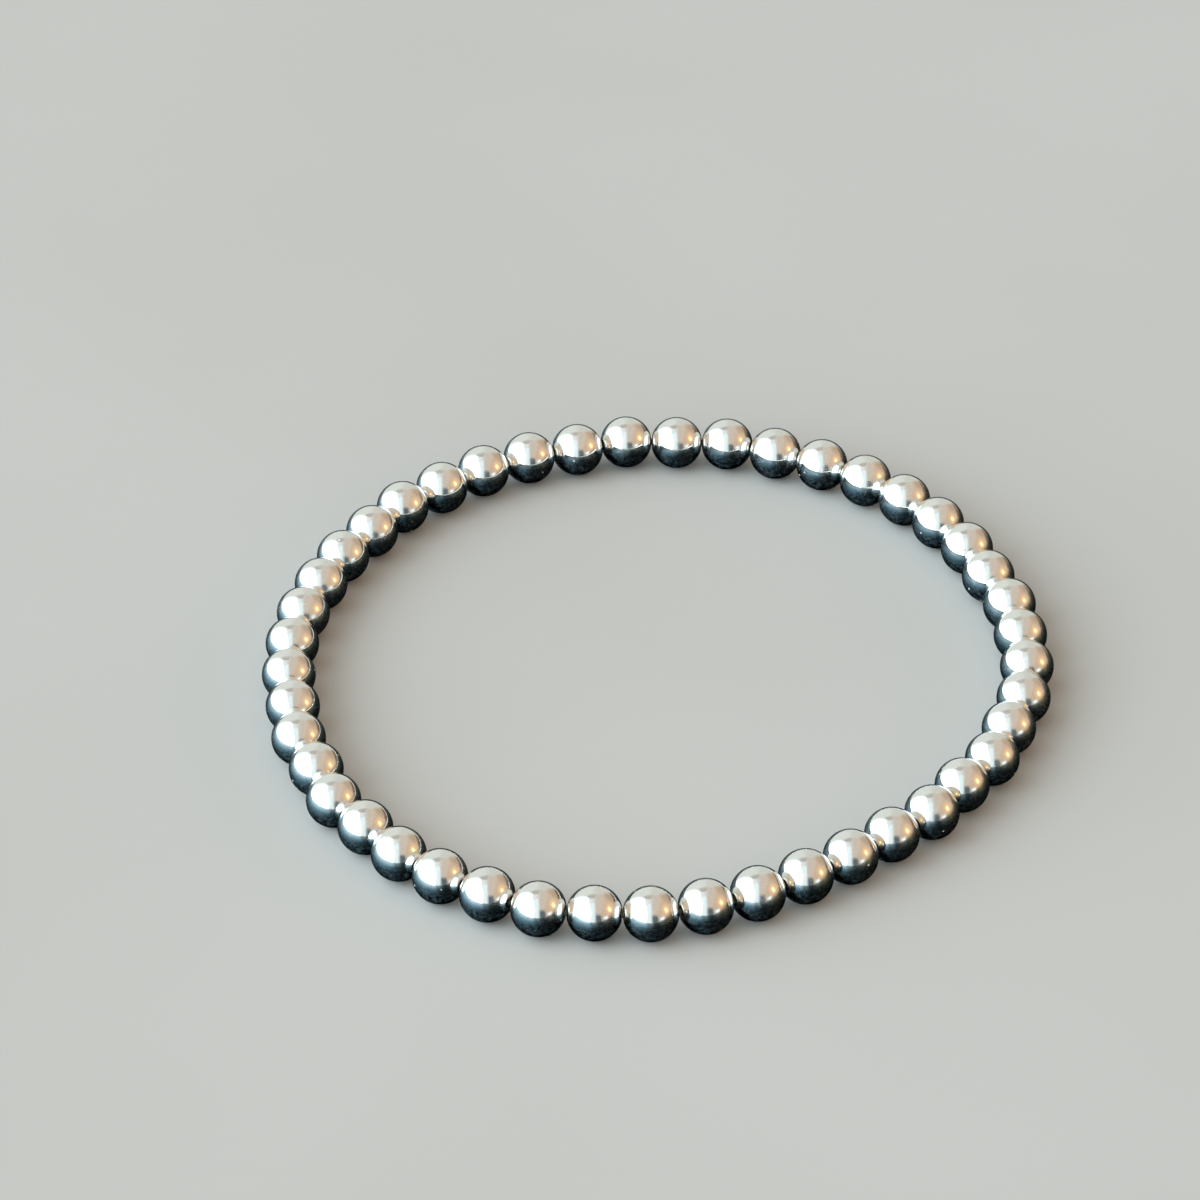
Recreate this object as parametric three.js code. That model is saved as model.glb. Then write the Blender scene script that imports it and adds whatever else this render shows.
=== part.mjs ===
/**
 * Bead bracelet: round polished metal beads threaded on a ring of thin elastic.
 *
 * The bracelet lies flat as one whole loop. Millimetres, +Z up. The origin is in the middle of
 * the loop's box, on the surface that the beads lie on.
 *
 * Each bead is a faceted ball with a straight bore along the thread. One facet of its widest row
 * faces straight down, so that the bead lies flat. The elastic is one closed ring that runs
 * through all the bores.
 */
import * as THREE from 'three';

const BEAD_COUNT = 45;
const BEAD_DIAMETER = 4;
const BEAD_PITCH = 3.95;
const BORE_DIAMETER = 1;
const ELASTIC_DIAMETER = 0.5;

// Clear space between the flat ends of two neighbours on a straight stretch.
const END_GAP = 0.34;

// The bores are wider than the thread, so each bead lies a little to one side of it: these waves
// along the string of beads add up to its place.
const SIDE_PLAY = [
  { reach: 0.067, stepDegrees: 68, startDegrees: 37 },
  { reach: 0.086, stepDegrees: 144, startDegrees: 11 },
  { reach: 0.082, stepDegrees: 168, startDegrees: 147 },
];

// The number of sides is a multiple of four, for flats below, above and at both sides of a bead.
const BEAD_SIDES = 12;
const BEAD_ROW_DEGREES = 24;
const ELASTIC_SIDES = 8;

// The loop isn't a true circle: each lobe adds its share of the mean radius at its peaks.
const FIRST_BEAD_DEGREES = -90.7;
const LOBES = [
  { order: 2, share: 0.0475, peakDegrees: 71.7 },
  { order: 3, share: 0.0147, peakDegrees: 6.8 },
  { order: 4, share: 0.011, peakDegrees: -13.6 },
  { order: 5, share: 0.004, peakDegrees: -19.6 },
];
const OUTLINE_DIVISIONS = 1800;

const FULL_TURN = 2 * Math.PI;
const radians = THREE.MathUtils.degToRad;

/** The closed line of the thread, seen from above, run through counter-clockwise. */
class LoopOutline extends THREE.Curve {
  constructor(meanRadius, startAngle) {
    super();
    this.meanRadius = meanRadius;
    this.startAngle = startAngle;
    this.arcLengthDivisions = OUTLINE_DIVISIONS;
  }

  getPoint(t, target = new THREE.Vector3()) {
    const angle = this.startAngle + FULL_TURN * t;
    let share = 1;
    for (const lobe of LOBES) {
      share += lobe.share * Math.cos(lobe.order * (angle - radians(lobe.peakDegrees)));
    }
    const radius = this.meanRadius * share;
    return target.set(radius * Math.cos(angle), radius * Math.sin(angle), 0);
  }
}

/** The outline that the whole string of beads fills, starting at the middle of the first bead. */
function makeBeadLine() {
  const startAngle = radians(FIRST_BEAD_DEGREES);
  const unitLine = new LoopOutline(1, startAngle);
  const meanRadius = (BEAD_COUNT * BEAD_PITCH) / unitLine.getLength();
  return new LoopOutline(meanRadius, startAngle);
}

/** How far a bead lies outside the thread's line, or inside it if negative. */
function sidePlay(index) {
  let play = 0;
  for (const wave of SIDE_PLAY) {
    play += wave.reach * Math.sin(radians(wave.startDegrees + wave.stepDegrees * index));
  }
  return play;
}

/** The middle of each bead, a little to one side of the line. */
function beadCentres(beadLine) {
  const centres = [];
  for (let index = 0; index < BEAD_COUNT; index += 1) {
    const along = index / BEAD_COUNT;
    const tangent = beadLine.getTangentAt(along);
    const outward = new THREE.Vector3(tangent.y, -tangent.x, 0);
    centres.push(beadLine.getPointAt(along).addScaledVector(outward, sidePlay(index)));
  }
  return centres;
}

/** A drilled ball, its bore along Y, its facets BEAD_DIAMETER apart above and below. */
function makeBeadGeometry() {
  const halfSide = Math.PI / BEAD_SIDES;
  const rowAngle = radians(BEAD_ROW_DEGREES);
  const cornerRadius = BEAD_DIAMETER / 2 / (Math.cos(halfSide) * Math.cos(rowAngle / 2));
  const boreRadius = BORE_DIAMETER / 2 / Math.cos(halfSide);
  const halfLength = (BEAD_PITCH - END_GAP) / 2;
  const endAngle = Math.asin(halfLength / cornerRadius);
  const rowEdges = [-endAngle, -1.5 * rowAngle, -0.5 * rowAngle];
  const profile = [new THREE.Vector2(boreRadius, -halfLength)];
  for (const angle of [...rowEdges, ...rowEdges.map((edge) => -edge).reverse()]) {
    profile.push(new THREE.Vector2(cornerRadius * Math.cos(angle), cornerRadius * Math.sin(angle)));
  }
  profile.push(new THREE.Vector2(boreRadius, halfLength));
  profile.push(profile[0].clone());
  return new THREE.LatheGeometry(profile, BEAD_SIDES, halfSide);
}

/** One bead, turned so that its bore points from the bead before it to the bead after it. */
function makeBead(geometry, centres, index) {
  const silver = new THREE.MeshStandardMaterial({
    color: '#dfddd8',
    roughness: 0.08,
    metalness: 1,
  });
  const before = centres[(index + BEAD_COUNT - 1) % BEAD_COUNT];
  const after = centres[(index + 1) % BEAD_COUNT];
  const bead = new THREE.Mesh(geometry, silver);
  bead.name = `bead_${String(index + 1).padStart(2, '0')}`;
  bead.position.set(centres[index].x, centres[index].y, BEAD_DIAMETER / 2);
  bead.rotation.z = Math.atan2(after.y - before.y, after.x - before.x) - Math.PI / 2;
  return bead;
}

/**
 * The thread: a closed ring whose corners lie at the joints between the beads. The corners stand
 * outside the beads' line by as much as the straight stretches between them cut inside it.
 */
function makeElastic(beadLine) {
  const clearStretch = new THREE.MeshStandardMaterial({
    color: '#7d7a66',
    roughness: 0.35,
    metalness: 0,
  });
  const toFirstJoint = FULL_TURN * beadLine.getUtoTmapping(0.5 / BEAD_COUNT);
  const cornerOffset = BEAD_PITCH ** 2 / (8 * beadLine.meanRadius);
  const jointLine = new LoopOutline(
    beadLine.meanRadius + cornerOffset,
    beadLine.startAngle + toFirstJoint,
  );
  const geometry = new THREE.TubeGeometry(
    jointLine,
    BEAD_COUNT,
    ELASTIC_DIAMETER / 2,
    ELASTIC_SIDES,
    true,
  );
  const elastic = new THREE.Mesh(geometry, clearStretch);
  elastic.name = 'elastic';
  elastic.position.z = BEAD_DIAMETER / 2;
  return elastic;
}

/** The whole bracelet, moved so that the middle of its box is over the origin. */
function makeBracelet() {
  const bracelet = new THREE.Group();
  const beadLine = makeBeadLine();
  const centres = beadCentres(beadLine);
  const beadGeometry = makeBeadGeometry();
  for (let index = 0; index < BEAD_COUNT; index += 1) {
    bracelet.add(makeBead(beadGeometry, centres, index));
  }
  bracelet.add(makeElastic(beadLine));
  const middle = new THREE.Box3().setFromObject(bracelet, true).getCenter(new THREE.Vector3());
  bracelet.position.set(-middle.x, -middle.y, 0);
  return bracelet;
}

export default makeBracelet();
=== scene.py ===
"""A bracelet of round polished silver beads on a thin elastic, lying flat as one whole loop.

Lengths are in metres, +Z is up and the table is at Z = 0. Each bead is modelled once as a drilled
ball with its bore along Z, then copied along the thread. Every finished piece keeps its place in its
mesh, so all object coordinates are the coordinates of the bracelet.
"""

import logging
import math
import random
from collections.abc import Callable
from dataclasses import dataclass, field
from enum import Enum

import bmesh
import bpy
from mathutils import Matrix, Vector


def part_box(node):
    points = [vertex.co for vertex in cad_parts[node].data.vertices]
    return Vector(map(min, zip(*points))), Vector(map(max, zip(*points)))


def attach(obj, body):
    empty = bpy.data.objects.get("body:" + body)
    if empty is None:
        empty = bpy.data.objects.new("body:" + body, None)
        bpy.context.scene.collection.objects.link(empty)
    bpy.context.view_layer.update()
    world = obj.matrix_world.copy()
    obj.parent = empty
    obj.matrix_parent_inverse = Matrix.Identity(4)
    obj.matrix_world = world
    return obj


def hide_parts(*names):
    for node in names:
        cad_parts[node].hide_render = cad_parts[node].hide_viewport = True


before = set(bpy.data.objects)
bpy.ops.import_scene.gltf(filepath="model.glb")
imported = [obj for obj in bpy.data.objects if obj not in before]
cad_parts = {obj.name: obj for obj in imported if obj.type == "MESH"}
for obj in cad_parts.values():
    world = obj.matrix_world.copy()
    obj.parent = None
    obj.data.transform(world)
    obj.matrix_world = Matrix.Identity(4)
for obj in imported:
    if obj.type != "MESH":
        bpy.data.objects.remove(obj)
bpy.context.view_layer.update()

MM = 0.001
HAIR = 0.0001 * MM
NEAR = 0.001 * MM
BODY = "root"
BORE_WEAR = "bore_wear"
BEAD_PLACE = "bead_place"
BEAD_TONE = "bead_tone"

Rgb = tuple[float, float, float]
Rgba = tuple[float, float, float, float]
Socket = bpy.types.NodeSocket
GroupInputs = bpy.types.NodeOutputs

log = logging.getLogger("bead_bracelet")


class Slot(Enum):
    """The record's material slots."""

    SILVER = "polished_silver"
    ELASTIC = "elastic_thread"


# ---------------------------------------------------------------- shader nodes


class ShaderNodes:
    """Adds nodes to one shader tree and links them."""

    def __init__(self, tree: bpy.types.NodeTree) -> None:
        """Starts from an empty tree."""
        self.tree = tree
        tree.nodes.clear()

    def add(self, kind: str, **inputs: object) -> bpy.types.Node:
        """Adds a node and fills its inputs.

        Args:
            kind: The node's type, without the ShaderNode prefix.
            **inputs: Values or output sockets by input name, with _ for each space.

        Returns:
            The new node.
        """
        prefix = "" if kind.startswith("Node") else "ShaderNode"
        node = self.tree.nodes.new(prefix + kind)
        for name, value in inputs.items():
            self.feed(node, name.replace("_", " "), value)
        return node

    def feed(self, node: bpy.types.Node, socket: str | int, value: object) -> None:
        """Fills one input of a node.

        Args:
            node: The node.
            socket: The input's name or index.
            value: An output socket to link, or a value to set.
        """
        if isinstance(value, Socket):
            self.tree.links.new(value, node.inputs[socket])
        else:
            node.inputs[socket].default_value = value

    def math(self, operation: str, *values: object, clamp: bool = False) -> Socket:
        """Adds a Math node.

        Args:
            operation: What it does.
            *values: Up to three numbers or output sockets.
            clamp: Whether the result is kept between 0 and 1.

        Returns:
            The result.
        """
        node = self.tree.nodes.new("ShaderNodeMath")
        node.operation = operation
        node.use_clamp = clamp
        for index, value in enumerate(values):
            self.feed(node, index, value)
        return node.outputs[0]

    def ramp(
        self, value: object, low: float, high: float, start: float = 0.0, end: float = 1.0
    ) -> Socket:
        """Maps a value by a smooth step, clamped at both ends.

        Args:
            value: The number or output socket to map.
            low: Where the step starts.
            high: Where it ends.
            start: The result at and below low.
            end: The result at and above high.

        Returns:
            The mapped value.
        """
        node = self.tree.nodes.new("ShaderNodeMapRange")
        node.interpolation_type = "SMOOTHSTEP"
        for index, number in enumerate((value, low, high, start, end)):
            self.feed(node, index, number)
        return node.outputs[0]

    def mix(self, share: object, first: object, second: object) -> Socket:
        """Mixes two colours.

        Args:
            share: How much of the second colour is in the mix, from 0 to 1.
            first: The first colour.
            second: The second colour.

        Returns:
            The mixed colour.
        """
        node = self.tree.nodes.new("ShaderNodeMix")
        node.data_type = "RGBA"
        # The node's sockets for numbers and vectors come before those for colours.
        self.feed(node, 0, share)
        self.feed(node, 6, first)
        self.feed(node, 7, second)
        return node.outputs[2]

    def noise(
        self, vector: object, scale: object, detail: float = 2.0, roughness: float = 0.5
    ) -> Socket:
        """Returns a noise value of the given number of waves to the metre."""
        node = self.add("TexNoise", Vector=vector, Scale=scale, Detail=detail, Roughness=roughness)
        return node.outputs["Fac"]

    def vector(self, operation: str, *values: object) -> Socket:
        """Adds a Vector Math node.

        Args:
            operation: What it does.
            *values: The vectors or output sockets.

        Returns:
            The resulting vector.
        """
        node = self.tree.nodes.new("ShaderNodeVectorMath")
        node.operation = operation
        for index, value in enumerate(values):
            self.feed(node, index, value)
        return node.outputs["Vector"]

    def dot(self, first: object, second: object) -> Socket:
        """Multiplies two vectors.

        Args:
            first: A vector or output socket.
            second: The other one.

        Returns:
            Their dot product.
        """
        node = self.tree.nodes.new("ShaderNodeVectorMath")
        node.operation = "DOT_PRODUCT"
        self.feed(node, 0, first)
        self.feed(node, 1, second)
        return node.outputs["Value"]

    def attribute(self, name: str) -> bpy.types.Node:
        """Reads one of the mesh's attributes.

        Args:
            name: The attribute's name.

        Returns:
            The node that reads it.
        """
        node = self.tree.nodes.new("ShaderNodeAttribute")
        node.attribute_name = name
        return node


@dataclass(frozen=True)
class Grain:
    """An even noise of so many waves to the metre."""

    waves: float
    detail: float = 2.0
    roughness: float = 0.5

    def draw(self, nodes: ShaderNodes, place: Socket) -> Socket:
        """Returns the noise's value at a place."""
        return nodes.noise(place, self.waves, self.detail, self.roughness)


@dataclass(frozen=True)
class Clouds(Grain):
    """A noise with its contrast raised: 0 up to the low level and 1 from the high one."""

    low: float = 0.35
    high: float = 0.65

    def draw(self, nodes: ShaderNodes, place: Socket) -> Socket:
        """Returns the clouds' mask at a place."""
        return nodes.ramp(super().draw(nodes, place), self.low, self.high)


@dataclass(frozen=True)
class SurfaceEffect:
    """A shader node group with one vector input, some number inputs and one mask output."""

    name: str
    numbers: dict[str, float] = field(default_factory=dict)

    def tree(self) -> bpy.types.NodeTree:
        """Builds the group the first time that it is asked for.

        Returns:
            The group.
        """
        known = bpy.data.node_groups.get(self.name)
        if known is not None:
            return known
        tree = bpy.data.node_groups.new(self.name, "ShaderNodeTree")
        tree.interface.new_socket("Vector", in_out="INPUT", socket_type="NodeSocketVector")
        for number, default in self.numbers.items():
            socket = tree.interface.new_socket(number, in_out="INPUT", socket_type="NodeSocketFloat")
            socket.default_value = default
        tree.interface.new_socket("Mask", in_out="OUTPUT", socket_type="NodeSocketFloat")
        nodes = ShaderNodes(tree)
        source = nodes.add("NodeGroupInput").outputs
        nodes.add("NodeGroupOutput", Mask=self.mask(nodes, source))
        return tree

    def mask(self, nodes: ShaderNodes, source: GroupInputs) -> Socket:
        """Builds the effect inside the group.

        Args:
            nodes: The group's nodes.
            source: The group's inputs, by name.

        Returns:
            The effect's mask.
        """
        raise NotImplementedError

    def place(self, nodes: ShaderNodes, vector: Socket, **numbers: float | Socket) -> Socket:
        """Puts the group in a material.

        Args:
            nodes: The material's nodes.
            vector: The coordinates that the effect is laid out on.
            **numbers: This material's own values of the group's number inputs.

        Returns:
            The group's mask.
        """
        node = nodes.tree.nodes.new("ShaderNodeGroup")
        node.node_tree = self.tree()
        nodes.feed(node, "Vector", vector)
        for name, value in numbers.items():
            nodes.feed(node, name.replace("_", " "), value)
        return node.outputs["Mask"]


@dataclass(frozen=True)
class BuffingLines(SurfaceEffect):
    """Hair-thin lines of the last buffing: crossing sets of long thin contours, broken up by a noise."""

    turns: tuple[tuple[float, float, float], ...] = ((0.3, 0.2, 0.0), (1.7, 0.4, 0.9), (0.8, 1.5, 2.1))
    slimness: float = 22.0
    contour: float = 0.5
    detail: float = 1.0

    def mask(self, nodes: ShaderNodes, source: GroupInputs) -> Socket:
        """Joins the sets."""
        first, second, third = (self.one_set(nodes, source, turn) for turn in self.turns)
        return nodes.math("MAXIMUM", first, nodes.math("MAXIMUM", second, third))

    def one_set(
        self, nodes: ShaderNodes, source: GroupInputs, turn: tuple[float, float, float]
    ) -> Socket:
        """Draws one set across its own axis, but for the two places where that axis stands upright.

        Args:
            nodes: The group's nodes.
            source: The group's inputs, by name.
            turn: The angles that the set is turned by.

        Returns:
            The set's mask.
        """
        turned = nodes.add("VectorRotate", Vector=source["Vector"])
        turned.rotation_type = "EULER_XYZ"
        turned.inputs["Rotation"].default_value = turn
        place = turned.outputs["Vector"]
        along = nodes.add("SeparateXYZ", Vector=place).outputs["Z"]
        flank = nodes.math("LESS_THAN", nodes.math("ABSOLUTE", along), source["Reach"])
        slim = nodes.vector("MULTIPLY", place, (1, 1, self.slimness))
        drawn_out = nodes.vector("ADD", slim, source["Shift"])
        level = nodes.noise(drawn_out, source["Length"], self.detail)
        line = nodes.math("COMPARE", level, self.contour, source["Width"])
        moved = nodes.vector("ADD", place, source["Shift"])
        patch = nodes.noise(moved, source["Patches"], self.detail)
        shown = nodes.math("GREATER_THAN", patch, source["Bare"])
        return nodes.math("MULTIPLY", line, nodes.math("MULTIPLY", shown, flank))


@dataclass(frozen=True)
class DustSpecks(SurfaceEffect):
    """Single specks of dust: the middles of a few Voronoi cells picked by their random colour."""

    def mask(self, nodes: ShaderNodes, source: GroupInputs) -> Socket:
        """Keeps the cells whose random number is under the share.

        Args:
            nodes: The group's nodes.
            source: The group's inputs, by name.

        Returns:
            The specks' mask.
        """
        cells = nodes.add("TexVoronoi", Vector=source["Vector"], Scale=source["Cells"])
        dot = nodes.math("LESS_THAN", cells.outputs["Distance"], source["Radius"])
        number = nodes.add("SeparateColor", Color=cells.outputs["Color"]).outputs["Red"]
        picked = nodes.math("LESS_THAN", number, source["Share"])
        return nodes.math("MULTIPLY", dot, picked)


@dataclass(frozen=True)
class PolishHaze(SurfaceEffect):
    """Soft clouds where fine rubbing has dulled the polish."""

    cloud_detail: float = 3.0
    cloud_levels: tuple[float, float] = (0.42, 0.68)
    grain_levels: tuple[float, float] = (0.35, 0.65)
    least_grain: float = 0.4

    def mask(self, nodes: ShaderNodes, source: GroupInputs) -> Socket:
        """Joins broad clouds with a fine grain.

        Args:
            nodes: The group's nodes.
            source: The group's inputs, by name.

        Returns:
            The haze's mask.
        """
        clouds = nodes.noise(source["Vector"], source["Clouds"], self.cloud_detail)
        grain = nodes.noise(source["Vector"], source["Grain"])
        broad = nodes.ramp(clouds, *self.cloud_levels)
        fine = nodes.ramp(grain, *self.grain_levels, self.least_grain, 1.0)
        return nodes.math("MULTIPLY", broad, fine)


# The scales count waves or cells to the metre.
LINES = BuffingLines(
    "buffing_lines",
    {"Reach": 1.5 * MM, "Length": 700.0, "Width": 0.006, "Patches": 900.0, "Bare": 0.52, "Shift": 0.0},
)
SPECKS = DustSpecks("dust_specks", {"Cells": 900.0, "Radius": 0.08, "Share": 0.4})
HAZE = PolishHaze("polish_haze", {"Clouds": 500.0, "Grain": 9000.0})


def new_material(name: str) -> tuple[bpy.types.Material, ShaderNodes, bpy.types.Node]:
    """Makes a material with one Principled shader.

    Args:
        name: The material's name.

    Returns:
        The material, its nodes and the shader.
    """
    material = bpy.data.materials.new(name)
    material.use_nodes = True
    nodes = ShaderNodes(material.node_tree)
    shader = nodes.add("BsdfPrincipled")
    nodes.add("OutputMaterial", Surface=shader.outputs["BSDF"])
    return material, nodes, shader


# ---------------------------------------------------------------- finishes


@dataclass(frozen=True)
class SilverFinish:
    """Mirror-polished silver, dulled a little by rubbing and darker where the polish can't reach."""

    silver: Rgba = (0.93, 0.92, 0.885, 1.0)
    tarnish: Rgba = (0.30, 0.24, 0.16, 1.0)
    dust: Rgba = (0.62, 0.60, 0.56, 1.0)
    polish: float = 0.045
    haze_roughness: float = 0.13
    least_haze: float = 0.4
    line_roughness: float = 0.32
    stain_roughness: float = 0.25
    speck_roughness: float = 0.6
    stain_depth: float = 0.5
    least_stain: float = 0.45
    blotches: Clouds = Clouds(1500.0, 4.0, 0.6, 0.35, 0.7)
    ripple: Grain = Grain(420.0, 1.0)
    rubbing: Grain = Grain(14000.0)
    speck_height: float = 1.5
    relief: float = 0.004 * MM

    def material(self) -> bpy.types.Material:
        """Builds the silver's shader.

        Returns:
            The material.
        """
        material, nodes, shader = new_material(Slot.SILVER.value)
        place = nodes.add("TexCoord").outputs["Object"]
        tone = nodes.attribute(BEAD_TONE).outputs["Fac"]
        haze = HAZE.place(nodes, place)
        specks = SPECKS.place(nodes, place)
        own_place = nodes.attribute(BEAD_PLACE).outputs["Vector"]
        lines = LINES.place(nodes, own_place, Shift=tone)
        stain = self.stain(nodes, place)

        share = nodes.math("MULTIPLY", stain, self.stain_depth, clamp=True)
        stained = nodes.mix(share, self.silver, self.tarnish)
        nodes.feed(shader, "Base Color", nodes.mix(specks, stained, self.dust))
        nodes.feed(shader, "Metallic", nodes.math("SUBTRACT", 1.0, specks))

        dulled = nodes.math("MULTIPLY", haze, nodes.math("ADD", tone, self.least_haze))
        rough = nodes.math("MULTIPLY_ADD", dulled, self.haze_roughness, self.polish)
        rough = nodes.math("MULTIPLY_ADD", lines, self.line_roughness, rough)
        rough = nodes.math("MULTIPLY_ADD", stain, self.stain_roughness, rough)
        rough = nodes.math("MULTIPLY_ADD", specks, self.speck_roughness, rough, clamp=True)
        nodes.feed(shader, "Roughness", rough)

        ripple = self.ripple.draw(nodes, place)
        height = nodes.math("MULTIPLY_ADD", haze, self.rubbing.draw(nodes, place), ripple)
        height = nodes.math("MULTIPLY_ADD", specks, self.speck_height, height)
        bump = nodes.add("Bump", Strength=1.0, Distance=self.relief, Height=height)
        nodes.feed(shader, "Normal", bump.outputs["Normal"])
        return material

    def stain(self, nodes: ShaderNodes, place: Socket) -> Socket:
        """Lays blotches of tarnish where the polish can't reach.

        Args:
            nodes: The material's nodes.
            place: The object coordinates.

        Returns:
            How stained the surface is, from 0.
        """
        wear = nodes.attribute(BORE_WEAR).outputs["Fac"]
        blotches = self.blotches.draw(nodes, place)
        return nodes.math("MULTIPLY", wear, nodes.math("ADD", blotches, self.least_stain))


@dataclass(frozen=True)
class ElasticFinish:
    """Clear stretch thread, slightly yellowed, with a faint grain along its skin."""

    clear: Rgba = (0.22, 0.21, 0.145, 1.0)
    cloudy: Rgba = (0.12, 0.11, 0.07, 1.0)
    clouds: Clouds = Clouds(1400.0, 3.0, 0.5, 0.35, 0.65)
    grain: Grain = Grain(9000.0, 3.0, 0.7)
    grain_levels: tuple[float, float] = (0.3, 0.7)
    smoothest: float = 0.25
    roughest: float = 0.45
    relief: float = 0.01 * MM
    relief_strength: float = 0.5

    def material(self) -> bpy.types.Material:
        """Builds the elastic's shader.

        Returns:
            The material.
        """
        material, nodes, shader = new_material(Slot.ELASTIC.value)
        place = nodes.add("TexCoord").outputs["Object"]
        clouds = self.clouds.draw(nodes, place)
        grain = self.grain.draw(nodes, place)
        rough = nodes.ramp(grain, *self.grain_levels, self.smoothest, self.roughest)
        nodes.feed(shader, "Base Color", nodes.mix(clouds, self.clear, self.cloudy))
        nodes.feed(shader, "Roughness", rough)
        bump = nodes.add("Bump", Strength=self.relief_strength, Distance=self.relief, Height=grain)
        nodes.feed(shader, "Normal", bump.outputs["Normal"])
        return material


@dataclass(frozen=True)
class TableAndPaintedReflection:
    """The plain pale table top, which the beads mirror as a blue-black card with a brushed nap: a painted
    reflection that darkens their lower halves with painted shade and lays a painted bluish sheen on them.
    """

    pale: Rgba = (0.515, 0.49, 0.46, 1.0)
    paler: Rgba = (0.54, 0.515, 0.485, 1.0)
    # Painted reflection: the beads mirror these near-black colours instead of the pale table, which
    # paints shade into their lower halves.
    painted_reflection_card: Rgba = (0.001, 0.0015, 0.002, 1.0)
    painted_reflection_patch_colour: Rgba = (0.017, 0.0245, 0.0285, 1.0)
    # Painted sheen: the bluish tint that the beads see on the card at flat angles.
    painted_sheen_at_flat_angles: Rgba = (0.64, 0.755, 0.81, 1.0)
    painted_reflection_roughness: float = 0.32
    clouds: Clouds = Clouds(12.0, 3.0, 0.5, 0.3, 0.7)
    painted_reflection_patches: Clouds = Clouds(1400.0, 3.0, 0.6, 0.38, 0.66)
    nap: Grain = Grain(160.0, 4.0, 0.68)
    nap_height: float = 0.8 * MM
    # Tilts the card's nap towards the window, so the painted sheen is brighter on the window side.
    painted_sheen_lean: float = 0.15

    def material(self) -> bpy.types.Material:
        """Builds the shader that is the table to the camera and, to glossy rays, the card of painted
        reflection that the beads mirror.

        Returns:
            The material.
        """
        material, nodes, painted_reflection_card = new_material("pale_table_painted_reflection")
        place = nodes.add("TexCoord").outputs["Object"]
        clouds = self.clouds.draw(nodes, place)
        table = nodes.add("BsdfDiffuse", Color=nodes.mix(clouds, self.pale, self.paler))
        self.dress_painted_reflection(nodes, painted_reflection_card, place)
        # Painted reflection: glossy rays see the dark card, all other rays the pale table.
        both = nodes.add("MixShader", Fac=nodes.add("LightPath").outputs["Is Glossy Ray"])
        nodes.feed(both, 1, table.outputs["BSDF"])
        nodes.feed(both, 2, painted_reflection_card.outputs["BSDF"])
        nodes.feed(nodes.tree.nodes["Material Output"], "Surface", both.outputs["Shader"])
        return material

    def dress_painted_reflection(self, nodes: ShaderNodes, painted_reflection_card: bpy.types.Node, place: Socket) -> None:
        """Gives the painted reflection card its dark tufts and a nap that leans to the window, which puts
        more of the painted sheen on the window side.

        Args:
            nodes: The material's nodes.
            painted_reflection_card: The card's shader.
            place: The object coordinates.
        """
        painted_reflection_patches = self.painted_reflection_patches.draw(nodes, place)
        nodes.feed(painted_reflection_card, "Base Color", nodes.mix(painted_reflection_patches, self.painted_reflection_card, self.painted_reflection_patch_colour))
        nodes.feed(painted_reflection_card, "Metallic", 1.0)
        nodes.feed(painted_reflection_card, "Specular Tint", self.painted_sheen_at_flat_angles)
        nodes.feed(painted_reflection_card, "Roughness", self.painted_reflection_roughness)
        east = nodes.add("SeparateXYZ", Vector=place).outputs["X"]
        height = nodes.math("MULTIPLY", self.nap.draw(nodes, place), self.nap_height)
        # The slope towards the east tilts the nap to the window and brightens the painted sheen on that
        # side.
        height = nodes.math("MULTIPLY_ADD", east, self.painted_sheen_lean, height)
        bump = nodes.add("Bump", Strength=1.0, Distance=1.0, Height=height)
        nodes.feed(painted_reflection_card, "Normal", bump.outputs["Normal"])


# ---------------------------------------------------------------- modelling


def deselect_objects() -> None:
    """Deselects every object, the frame's included."""
    for other in bpy.context.selected_objects:
        other.select_set(False)


def activate(piece: bpy.types.Object) -> None:
    """Makes one object the only selected one and the active one.

    Args:
        piece: The object.
    """
    deselect_objects()
    piece.select_set(True)
    bpy.context.view_layer.objects.active = piece


def select_where(piece: bpy.types.Object, test: Callable[[Vector], bool]) -> None:
    """Selects the vertices and edges of a mesh in edit mode whose points all pass the test.

    Args:
        piece: The object in edit mode.
        test: Says whether a point in the object's own coordinates is taken.
    """
    bpy.ops.mesh.select_all(action="DESELECT")
    edited = bmesh.from_edit_mesh(piece.data)
    for vertex in edited.verts:
        vertex.select = test(vertex.co)
    edited.select_flush_mode()
    bmesh.update_edit_mesh(piece.data)


@dataclass
class ThreadLine:
    """Where each bead sits and which way its bore points, read from the frame."""

    nodes: list[str]
    centres: list[Vector] = field(default_factory=list)

    def __post_init__(self) -> None:
        """Reads the middle of each bead's box."""
        for node in self.nodes:
            low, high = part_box(node)
            self.centres.append((low + high) / 2)

    def direction(self, index: int) -> Vector:
        """Returns the way from the bead before to the bead after."""
        count = len(self.centres)
        return (self.centres[(index + 1) % count] - self.centres[index - 1]).normalized()


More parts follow.
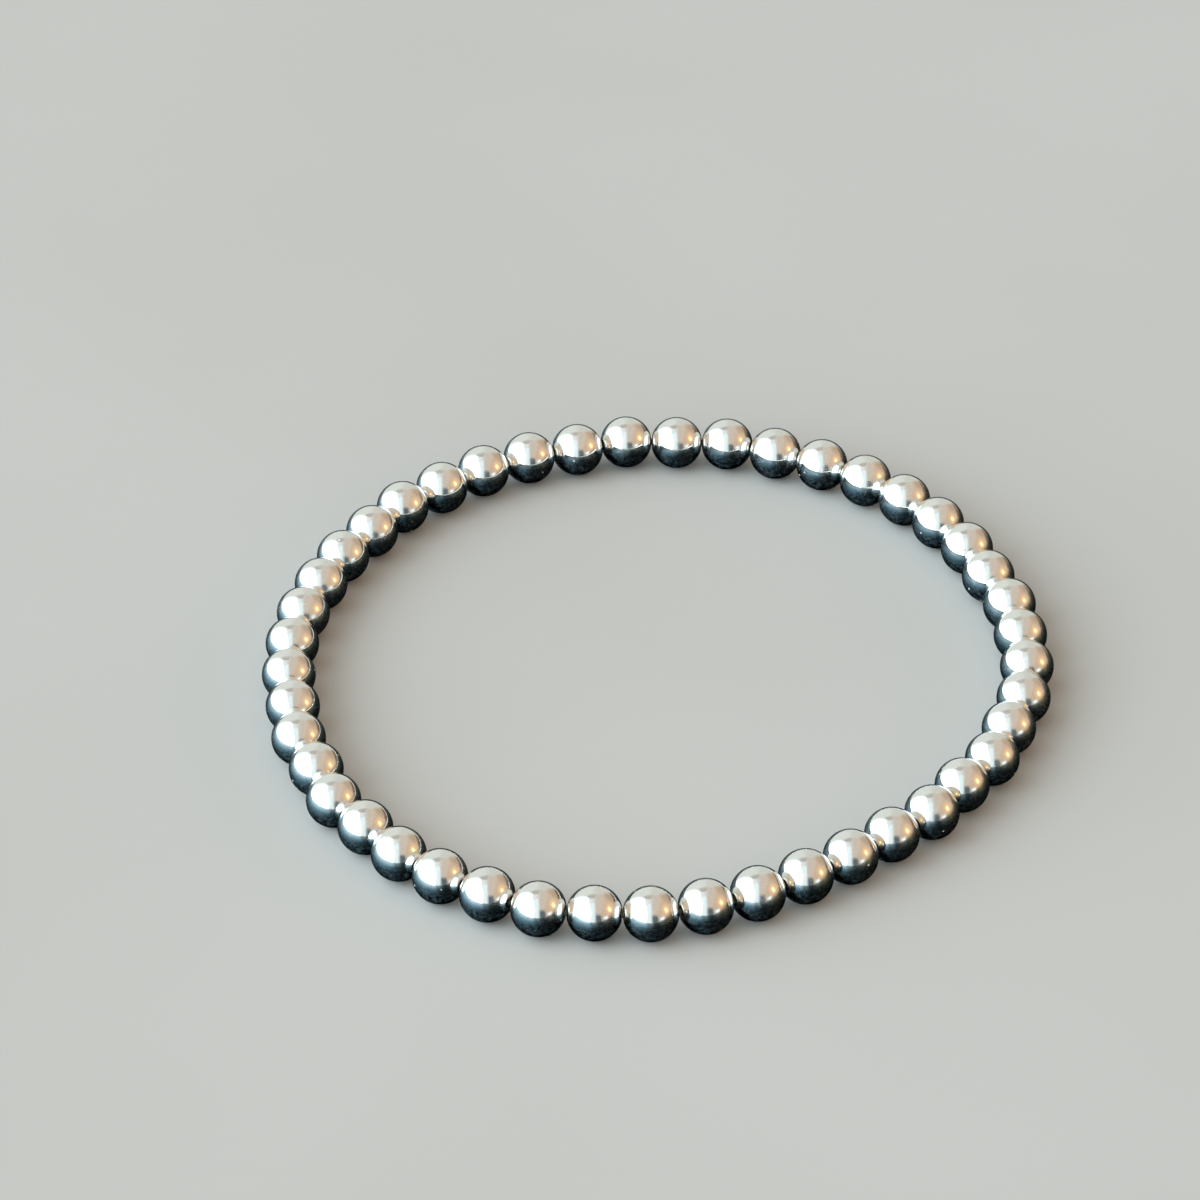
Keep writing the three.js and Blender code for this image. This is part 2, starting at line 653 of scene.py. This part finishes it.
@dataclass
class BeadString:
    """The round drilled beads: one is modelled and the rest are copies of its mesh."""

    diameter: float = 4.0 * MM
    bore: float = 1.0 * MM
    lip: float = 0.02 * MM
    lip_rounding: float = 0.009 * MM
    wear_reach: float = 0.25 * MM
    segments: int = 84
    rings: int = 46
    bore_cuts: int = 6
    lip_segments: int = 2
    crease_degrees: float = 50.0
    unevenness: float = 0.004
    seed: int = 45

    def rim_height(self) -> float:
        """Returns how far the flat cut of the bore is from the bead's middle."""
        rim = self.bore / 2 + self.lip
        return math.sqrt((self.diameter / 2) ** 2 - rim**2)

    def model_pattern(self) -> bpy.types.Object:
        """Models one bead about the origin with its bore along Z.

        Returns:
            The pattern bead.
        """
        deselect_objects()
        bpy.ops.mesh.primitive_uv_sphere_add(
            segments=self.segments, ring_count=self.rings, radius=self.diameter / 2
        )
        bead = bpy.context.active_object
        bead.name = "pattern_bead"
        bpy.ops.object.mode_set(mode="EDIT")
        bpy.ops.mesh.select_mode(type="VERT")
        self.cut_ends()
        self.turn_lips_in(bead)
        self.open_bore(bead)
        self.put_in_order(bead)
        bpy.ops.object.mode_set(mode="OBJECT")
        bpy.ops.object.shade_smooth_by_angle(angle=math.radians(self.crease_degrees))
        self.mark_surface(bead)
        return bead

    def cut_ends(self) -> None:
        """Cuts both poles off square to the bore."""
        for side in (1, -1):
            bpy.ops.mesh.select_all(action="SELECT")
            bpy.ops.mesh.bisect(
                plane_co=(0, 0, side * self.rim_height()),
                plane_no=(0, 0, side),
                clear_outer=True,
                threshold=HAIR,
            )

    def turn_lips_in(self, bead: bpy.types.Object) -> None:
        """Extrudes each open edge inwards to the bore's width, a little below the cut.

        Args:
            bead: The bead in edit mode.
        """
        rim = self.rim_height()
        share = self.bore / (self.bore + 2 * self.lip)
        for side in (1, -1):
            select_where(bead, lambda point: abs(point.z - side * rim) < NEAR)
            bpy.ops.mesh.extrude_region_move(TRANSFORM_OT_translate={"value": (0, 0, -side * self.lip)})
            bpy.ops.transform.resize(value=(share, share, 1), center_override=(0, 0, side * rim))

    def open_bore(self, bead: bpy.types.Object) -> None:
        """Joins the two inner edges by the wall of the bore and rounds both edges of each lip.

        Args:
            bead: The bead in edit mode.
        """
        inside = self.bore / 2 + NEAR
        select_where(bead, lambda point: math.hypot(point.x, point.y) < inside)
        bpy.ops.mesh.select_mode(type="EDGE")
        bpy.ops.mesh.bridge_edge_loops(number_cuts=self.bore_cuts, interpolation="LINEAR")
        self.select_lip_edges(bead)
        bpy.ops.mesh.bevel(offset=self.lip_rounding, segments=self.lip_segments, affect="EDGES")
        bpy.ops.mesh.select_mode(type="VERT")
        bpy.ops.mesh.select_all(action="SELECT")
        bpy.ops.mesh.remove_doubles(threshold=NEAR / 2)
        bpy.ops.mesh.normals_make_consistent(inside=False)

    def select_lip_edges(self, bead: bpy.types.Object) -> None:
        """Selects the edges that run round the outer and the inner rim of each lip.

        Args:
            bead: The bead in edit mode.
        """
        rim = self.rim_height()

        def on_lip(point: Vector) -> bool:
            """Says whether the point is on the outer or the inner rim of a lip."""
            return min(abs(abs(point.z) - rim), abs(abs(point.z) - rim + self.lip)) < NEAR

        select_where(bead, on_lip)
        edited = bmesh.from_edit_mesh(bead.data)
        for edge in edited.edges:
            level = abs(edge.verts[0].co.z - edge.verts[1].co.z) < NEAR
            edge.select = level and all(on_lip(vertex.co) for vertex in edge.verts)
        bmesh.update_edit_mesh(bead.data)

    def put_in_order(self, bead: bpy.types.Object) -> None:
        """Numbers the points by their places, and the edges and faces by their points.

        The tools number them in another order in each run.

        Args:
            bead: The bead in edit mode.
        """

        def place(vertex: bmesh.types.BMVert) -> tuple[float, ...]:
            """Returns the point's place."""
            return tuple(vertex.co)

        def points(part: bmesh.types.BMEdge | bmesh.types.BMFace) -> list[int]:
            """Returns the numbers of the points of an edge or a face."""
            return sorted(vertex.index for vertex in part.verts)

        edited = bmesh.from_edit_mesh(bead.data)
        for parts, key in ((edited.verts, place), (edited.edges, points), (edited.faces, points)):
            for number, part in enumerate(sorted(parts, key=key)):
                part.index = number
            parts.sort()
        bmesh.update_edit_mesh(bead.data)

    def mark_surface(self, bead: bpy.types.Object) -> None:
        """Stores each point's place on the bead, and its wear: 0 on the open surface to 1 in the bore.

        Args:
            bead: The bead about the origin.
        """
        lip = self.bore / 2 + self.lip
        wear = bead.data.attributes.new(BORE_WEAR, "FLOAT", "POINT")
        own_place = bead.data.attributes.new(BEAD_PLACE, "FLOAT_VECTOR", "POINT")
        for vertex in bead.data.vertices:
            outside = math.hypot(vertex.co.x, vertex.co.y) - lip
            share = 1 - min(1.0, max(0.0, outside / self.wear_reach))
            wear.data[vertex.index].value = share * share
            own_place.data[vertex.index].vector = vertex.co

    def place(
        self, pattern: bpy.types.Object, line: ThreadLine, silver: bpy.types.Material
    ) -> list[bpy.types.Object]:
        """Copies the pattern to every place on the thread.

        Args:
            pattern: The bead about the origin.
            line: The beads' places.
            silver: Their material.

        Returns:
            The beads, in order along the thread.
        """
        chance = random.Random(self.seed)
        beads = []
        for index, node in enumerate(line.nodes):
            name = f"{node}_polished"
            mesh = pattern.data.copy()
            mesh.name = name
            mesh.transform(self.seat(line, index, chance))
            tone = mesh.attributes.new(BEAD_TONE, "FLOAT", "POINT")
            tone.data.foreach_set("value", [chance.random()] * len(mesh.vertices))
            mesh.materials.clear()
            mesh.materials.append(silver)
            bead = bpy.data.objects.new(name, mesh)
            bpy.context.scene.collection.objects.link(bead)
            beads.append(bead)
        return beads

    def seat(self, line: ThreadLine, index: int, chance: random.Random) -> Matrix:
        """Works out a bead's place on the thread, rolled and very slightly uneven.

        Args:
            line: The beads' places.
            index: Which bead it is.
            chance: Where its roll and its shape come from.

        Returns:
            The matrix that takes the pattern there.
        """
        shape = Matrix.Diagonal([1 - self.unevenness * chance.random() for _ in range(3)]).to_4x4()
        roll = Matrix.Rotation(chance.uniform(0, 2 * math.pi), 4, "Z")
        turn = line.direction(index).to_track_quat("Z", "Y").to_matrix().to_4x4()
        return Matrix.Translation(line.centres[index]) @ turn @ roll @ shape

    def build(self, line: ThreadLine, silver: bpy.types.Material) -> None:
        """Makes all the beads and ties them to the frame.

        Args:
            line: The beads' places.
            silver: Their material.
        """
        pattern = self.model_pattern()
        beads = self.place(pattern, line, silver)
        bpy.data.objects.remove(pattern)
        for node, bead in zip(line.nodes, beads):
            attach(bead, BODY)
            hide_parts(node)
            log.info("%s: %d faces", bead.name, len(bead.data.polygons))


@dataclass
class ElasticRing:
    """The thin closed thread through all the beads."""

    diameter: float = 0.5 * MM
    steps_to_a_bead: int = 6
    bevel_steps: int = 4
    curve_order: int = 4
    node: str = "elastic"
    name: str = "elastic_thread"

    def corners(self, line: ThreadLine) -> list[Vector]:
        """Works out the curve's corners from the joints between the beads.

        The curve cuts inside its corners by a sixth of their bend, so each corner is pushed out by a
        third of it. The rest keeps the thread amid the bores.

        Args:
            line: The beads' places.

        Returns:
            One corner for each bead.
        """
        count = len(line.centres)
        joints = [(line.centres[index - 1] + line.centres[index]) / 2 for index in range(count)]
        corners = []
        for index, joint in enumerate(joints):
            bend = joints[index - 1] + joints[(index + 1) % count] - 2 * joint
            corners.append(joint - bend / 3)
        return corners

    def build(self, line: ThreadLine, elastic: bpy.types.Material) -> None:
        """Sweeps the thread through the beads and ties it to the frame.

        Args:
            line: The beads' places.
            elastic: Its material.
        """
        route = bpy.data.curves.new(self.name, "CURVE")
        route.dimensions = "3D"
        route.bevel_depth = self.diameter / 2
        route.bevel_resolution = self.bevel_steps
        route.resolution_u = self.steps_to_a_bead
        spline = route.splines.new("NURBS")
        spline.points.add(len(line.centres) - 1)
        for point, corner in zip(spline.points, self.corners(line)):
            point.co = (*corner, 1.0)
        spline.order_u = self.curve_order
        spline.use_cyclic_u = True
        ring = bpy.data.objects.new(self.name, route)
        bpy.context.scene.collection.objects.link(ring)
        activate(ring)
        bpy.ops.object.convert(target="MESH")
        ring = bpy.context.active_object
        bpy.ops.object.shade_smooth()
        ring.data.materials.clear()
        ring.data.materials.append(elastic)
        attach(ring, BODY)
        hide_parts(self.node)
        log.info("%s: %d faces", ring.name, len(ring.data.polygons))


# ---------------------------------------------------------------- studio

# The slope of an edge that is out of sight below the table.
BELOW = -9.0


@dataclass(frozen=True)
class RoomPanel:
    """An upright soft-edged patch of the room around the bracelet, square on to one azimuth.

    Azimuth 0 is straight away from the camera, and it grows to the right. The edges are slopes: how far
    to the right, and how far above the table's level, for each unit of the panel's distance.
    """

    name: str
    azimuth: float
    left: float
    right: float
    bottom: float
    top: float
    colour: Rgb
    side_blur: float
    end_blur: float

    def mask(self, nodes: ShaderNodes, way: Socket) -> Socket:
        """Draws the panel on the world.

        Args:
            nodes: The world's nodes.
            way: The direction that is looked in.

        Returns:
            1 on the panel and 0 away from it.
        """
        turn = math.radians(self.azimuth)
        sine, cosine = math.sin(turn), math.cos(turn)
        ahead = nodes.dot(way, (sine, cosine, 0))
        across = nodes.math("DIVIDE", nodes.dot(way, (cosine, -sine, 0)), ahead)
        climb = nodes.math("DIVIDE", nodes.dot(way, (0, 0, 1)), ahead)
        from_left = self.rising(nodes, across, self.left, self.side_blur)
        to_right = self.falling(nodes, across, self.right, self.side_blur)
        from_bottom = self.rising(nodes, climb, self.bottom, self.end_blur)
        to_top = self.falling(nodes, climb, self.top, self.end_blur)
        inside = nodes.math("MULTIPLY", from_left, to_right)
        level = nodes.math("MULTIPLY", from_bottom, to_top)
        in_front = nodes.math("GREATER_THAN", ahead, 0.0)
        return nodes.math("MULTIPLY", in_front, nodes.math("MULTIPLY", inside, level))

    def rising(self, nodes: ShaderNodes, slope: Socket, edge: float, blur: float) -> Socket:
        """Returns a smooth step from 0 to 1 across an edge."""
        return nodes.ramp(slope, edge - blur, edge + blur)

    def falling(self, nodes: ShaderNodes, slope: Socket, edge: float, blur: float) -> Socket:
        """Returns a smooth step from 1 to 0 across an edge."""
        return nodes.ramp(slope, edge - blur, edge + blur, 1.0, 0.0)


@dataclass(frozen=True)
class SoftLight:
    """A rectangular softbox that faces the bracelet."""

    name: str
    toward: tuple[float, float, float]
    distance: float
    width: float
    height: float
    radiance: float
    colour: Rgb

    def build(self) -> None:
        """Adds the light; its power is its radiance times its area times pi."""
        data = bpy.data.lights.new(self.name, "AREA")
        data.shape = "RECTANGLE"
        data.size = self.width
        data.size_y = self.height
        data.energy = self.radiance * self.width * self.height * math.pi
        data.color = self.colour
        light = bpy.data.objects.new(self.name, data)
        bpy.context.scene.collection.objects.link(light)
        toward = Vector(self.toward).normalized()
        light.location = toward * self.distance
        light.rotation_euler = toward.to_track_quat("Z", "Y").to_euler()
        light.visible_camera = False


@dataclass(frozen=True)
class StudioRoom:
    """The plain room that the beads mirror: a big window on the left, a warm wall with a lamp, a ceiling.

    The panels are listed from the back to the front, with their fields in RoomPanel's order.
    """

    ceiling: Rgb = (0.60, 0.55, 0.49)
    ceiling_by_window: Rgb = (0.79, 0.86, 0.87)
    ceiling_by_lamp: Rgb = (0.67, 0.555, 0.45)
    backdrop: Rgb = (0.53, 0.53, 0.52)
    window_side: tuple[float, float] = (-0.25, 0.22)
    lamp_side: tuple[float, float] = (0.1, 0.6)
    panels: tuple[RoomPanel, ...] = (
        RoomPanel("beam", -10, -0.86, 0.35, 1.4, 5.0, (0.49, 0.47, 0.425), 0.25, 0.60),
        RoomPanel("far wall", -10, -0.84, 0.80, BELOW, 1.5, (0.72, 0.765, 0.73), 0.15, 0.45),
        RoomPanel("far corner", 12, -0.20, 0.40, BELOW, 1.4, (0.63, 0.645, 0.595), 0.20, 0.40),
        RoomPanel("warm wall", 90, -1.42, 1.90, BELOW, 1.4, (0.62, 0.48, 0.36), 0.20, 0.50),
        RoomPanel("warm corner", 50, -0.28, 0.28, BELOW, 0.9, (0.48, 0.37, 0.27), 0.25, 0.50),
        RoomPanel("sideboard", 50, -0.35, 0.30, 0.05, 0.24, (0.20, 0.13, 0.08), 0.12, 0.06),
        RoomPanel("wall foot", 95, -1.20, 1.20, BELOW, 0.12, (0.10, 0.075, 0.055), 0.20, 0.18),
        RoomPanel("lamp glow", 102, -0.38, 0.26, 0.22, 0.90, (1.00, 0.64, 0.34), 0.34, 0.36),
        RoomPanel("lamp", 101, -0.11, 0.11, 0.34, 0.62, (2.2, 1.65, 0.80), 0.10, 0.12),
        RoomPanel("near wall", 180, -0.58, -0.05, BELOW, 0.62, (0.11, 0.15, 0.17), 0.13, 0.22),
        RoomPanel("low window", 134, -0.18, 0.13, 0.07, 0.24, (1.1, 1.3, 1.35), 0.12, 0.11),
        RoomPanel("curtain", 180, -0.05, 1.20, BELOW, 6.0, (0.84, 0.98, 1.02), 0.16, 3.0),
        RoomPanel("window", -90, -3.00, 0.60, BELOW, 2.4, (2.0, 2.5, 2.8), 0.60, 0.70),
    )

    def build(self) -> None:
        """Paints the room in the world's shader; straight to the camera it is one pale backdrop."""
        world = bpy.data.worlds.new("studio_room")
        world.use_nodes = True
        bpy.context.scene.world = world
        nodes = ShaderNodes(world.node_tree)
        way = nodes.add("TexCoord").outputs["Generated"]
        east = nodes.dot(way, (1, 0, 0))
        room = self.opaque(self.ceiling)
        by_window = nodes.ramp(east, *self.window_side, 1.0, 0.0)
        room = nodes.mix(by_window, room, self.opaque(self.ceiling_by_window))
        by_lamp = nodes.ramp(east, *self.lamp_side)
        room = nodes.mix(by_lamp, room, self.opaque(self.ceiling_by_lamp))
        for panel in self.panels:
            room = nodes.mix(panel.mask(nodes, way), room, self.opaque(panel.colour))
            room.node.label = panel.name
        straight = nodes.add("LightPath").outputs["Is Camera Ray"]
        seen = nodes.mix(straight, room, self.opaque(self.backdrop))
        nodes.add("OutputWorld", Surface=nodes.add("Background", Color=seen).outputs[0])

    def opaque(self, colour: Rgb) -> Rgba:
        """Returns the colour with an alpha of 1."""
        return (*colour, 1.0)


@dataclass
class Studio:
    """The table, the room around it, the softbox and the camera."""

    table_side: float = 4.0
    softbox: SoftLight = SoftLight(
        name="window_softbox",
        toward=(-0.80, -0.35, 0.55),
        distance=1.5,
        width=0.8,
        height=0.8,
        radiance=2.6,
        colour=(0.93, 0.98, 1.0),
    )
    camera_elevation: float = 35.57
    camera_distance: float = 432 * MM
    camera_aim: tuple[float, float, float] = (-4.31 * MM, 8.23 * MM, 2.0 * MM)
    lens: float = 172.0
    sensor: float = 36.0
    nearest_seen: float = 10 * MM

    def build(self) -> None:
        """Sets up everything that isn't the bracelet."""
        self.lay_table()
        StudioRoom().build()
        self.softbox.build()
        self.set_camera()
        bpy.context.scene.view_settings.view_transform = "Standard"

    def lay_table(self) -> None:
        """Lays the plain pale table top under the bracelet; its shader paints the beads' reflection of it
        as a dark card.
        """
        deselect_objects()
        bpy.ops.mesh.primitive_plane_add(size=self.table_side)
        table = bpy.context.active_object
        table.name = "pale_table_painted_reflection"
        table.data.materials.append(TableAndPaintedReflection().material())

    def set_camera(self) -> None:
        """Places the camera at the viewing angle, aimed just beyond the loop's middle."""
        rise = math.radians(self.camera_elevation)
        back = Vector((0.0, -math.cos(rise), math.sin(rise)))
        data = bpy.data.cameras.new("camera")
        data.lens = self.lens
        data.sensor_width = self.sensor
        data.clip_start = self.nearest_seen
        camera = bpy.data.objects.new("camera", data)
        bpy.context.scene.collection.objects.link(camera)
        camera.location = Vector(self.camera_aim) + back * self.camera_distance
        camera.rotation_euler = back.to_track_quat("Z", "Y").to_euler()
        bpy.context.scene.camera = camera


def main() -> None:
    """Builds the bracelet and its studio."""
    logging.basicConfig(level=logging.INFO, format="%(name)s: %(message)s")
    Studio().build()
    line = ThreadLine(sorted(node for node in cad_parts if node.startswith("bead_")))
    BeadString().build(line, SilverFinish().material())
    ElasticRing().build(line, ElasticFinish().material())


if __name__ == "__main__":
    main()
